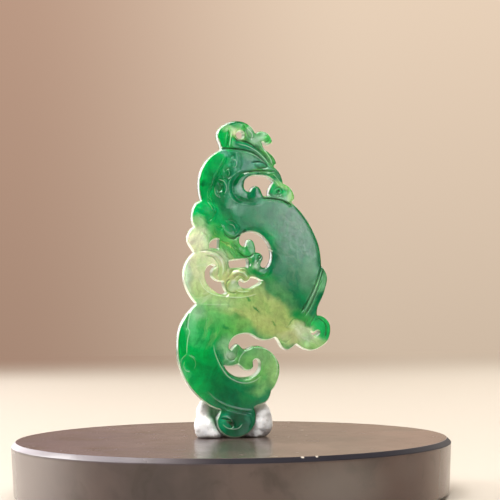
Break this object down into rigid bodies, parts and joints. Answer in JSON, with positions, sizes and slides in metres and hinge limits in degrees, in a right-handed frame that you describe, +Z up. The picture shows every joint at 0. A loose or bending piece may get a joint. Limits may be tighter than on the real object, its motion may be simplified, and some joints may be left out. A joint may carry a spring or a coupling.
{
  "type": "carved openwork jade pendant on a round stone display stand with mounting putty",
  "caption": "Flat openwork carved jade pendant with a drilled cord hole in its crest, standing upright on a round bevelled stone disc and held by white tack putty.",
  "frame": {"origin": "centre of the stand's underside", "axes": "+Z up, +X to the right as the carved front is seen, front of the pendant faces -Y"},
  "size_m": [0.08, 0.08, 0.0685],
  "materials": {
    "jade": "polished",
    "putty": "matte",
    "stand_stone": "satin"
  },
  "bodies": {
    "root": {"pendant": "jade", "putty": "putty", "stand": "stand_stone"}
  },
  "joints": []
}
